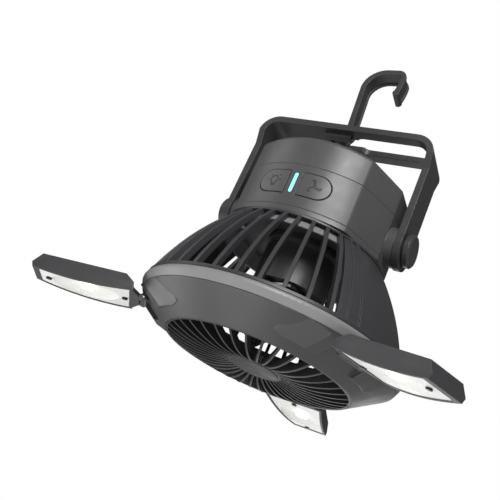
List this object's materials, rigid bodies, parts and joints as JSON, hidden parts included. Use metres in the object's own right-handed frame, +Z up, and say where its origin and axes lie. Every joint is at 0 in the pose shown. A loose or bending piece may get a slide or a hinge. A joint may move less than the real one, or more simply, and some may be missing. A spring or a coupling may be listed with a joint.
{
  "type": "portable camping fan",
  "caption": "Hanging camping fan: folding hook, U bracket, tilting control head over a ribbed intake cage, domed-grille outlet ring and hinged light panels.",
  "frame": {"origin": "the hook's seat: the inside top of the hook's bend, where the fan hangs from a bar", "axes": "+Z up, along the fan's axis; +X along the tilt pivots, towards the side where the hook opens; -Y is the side with the two buttons"},
  "size_m": [0.273, 0.2383, 0.2422],
  "materials": {
    "shell_dark": "satin moulded plastic, dark gray",
    "shell_gray": "satin moulded plastic, gray",
    "band_gray": "satin moulded plastic, lighter gray",
    "grille_black": "satin black plastic",
    "impeller_black": "smooth black plastic",
    "lens_cyan": "clear plastic light pipe, lit cyan",
    "board_green": "circuit board with solder mask",
    "board_white": "white light board",
    "cell_wrap": "shrink-wrapped steel cell",
    "motor_can": "plated steel can",
    "steel": "plated steel",
    "screw_black": "blackened steel screw",
    "reflector_white": "white reflector with a soft sheen",
    "light_yellow": "warm light chip under clear resin"
  },
  "bodies": {
    "hook": {"hook": "shell_dark"},
    "bracket": {"bracket": "shell_dark", "hook_pin": "steel"},
    "head": {"back_panel_pin": "steel", "battery_cells": "cell_wrap", "battery_tray": "grille_black", "button_switches": "grille_black", "case_screws": "steel", "charging_board": "board_green", "charging_socket": "steel", "circuit_board": "board_green", "fan_cage": "shell_dark", "front_grille": "grille_black", "front_ring": "shell_dark", "grille_hub_cap": "grille_black", "head_base": "shell_gray", "head_housing": "shell_gray", "indicator_lens": "lens_cyan", "intake_collar": "band_gray", "left_panel_pin": "steel", "motor": "motor_can", "motor_housing": "shell_gray", "pivot_cap_left": "shell_dark", "pivot_cap_right": "shell_dark", "pivot_screw_left": "steel", "pivot_screw_right": "steel", "pivot_washer_left": "grille_black", "pivot_washer_right": "grille_black", "right_panel_pin": "steel", "top_cover": "shell_gray", "upper_ring": "band_gray"},
    "impeller": {"motor_shaft": "steel", "impeller": "impeller_black", "impeller_nut": "grille_black"},
    "fan_button": {"fan_button": "shell_gray"},
    "light_button": {"light_button": "shell_gray"},
    "left_panel": {"left_panel_shell": "shell_dark", "left_panel_reflector": "reflector_white", "left_panel_board": "board_white", "left_panel_light": "light_yellow", "left_panel_screws": "screw_black"},
    "right_panel": {"right_panel_shell": "shell_dark", "right_panel_reflector": "reflector_white", "right_panel_board": "board_white", "right_panel_light": "light_yellow", "right_panel_screws": "screw_black"},
    "back_panel": {"back_panel_shell": "shell_dark", "back_panel_reflector": "reflector_white", "back_panel_board": "board_white", "back_panel_light": "light_yellow", "back_panel_screws": "screw_black"}
  },
  "joints": [
    {"name": "hook_fold", "type": "hinge", "parent": "hook", "child": "bracket", "pos_m": [-0.0163, 0, -0.0597], "axis": [0, -1, 0], "range_deg": [0, 90]},
    {"name": "head_tilt", "type": "hinge", "parent": "bracket", "child": "head", "pos_m": [-0.0083, 0, -0.1333], "axis": [1, 0, 0], "range_deg": [-90, 90]},
    {"name": "impeller_spin", "type": "hinge", "parent": "head", "child": "impeller", "pos_m": [-0.0083, 0, -0.1924], "axis": [0, 0, 1], "continuous": true},
    {"name": "light_button_press", "type": "slide", "parent": "head", "child": "light_button", "axis": [0, 1, 0], "range_m": [0, 0.001], "stiffness_N_per_m": 800, "springref_m": -0.001},
    {"name": "fan_button_press", "type": "slide", "parent": "head", "child": "fan_button", "axis": [0, 1, 0], "range_m": [0, 0.001], "stiffness_N_per_m": 800, "springref_m": -0.001},
    {"name": "left_panel_hinge", "type": "hinge", "parent": "head", "child": "left_panel", "pos_m": [-0.07805, -0.04027, -0.22469], "axis": [-0.5, 0.866, 0], "range_deg": [-80, 22]},
    {"name": "right_panel_hinge", "type": "hinge", "parent": "head", "child": "right_panel", "pos_m": [0.06145, -0.04027, -0.22469], "axis": [-0.5, -0.866, 0], "range_deg": [-80, 22]},
    {"name": "back_panel_hinge", "type": "hinge", "parent": "head", "child": "back_panel", "pos_m": [-0.01181, 0.08046, -0.22469], "axis": [0.999, 0.0436, 0], "range_deg": [-86, 15]}
  ]
}
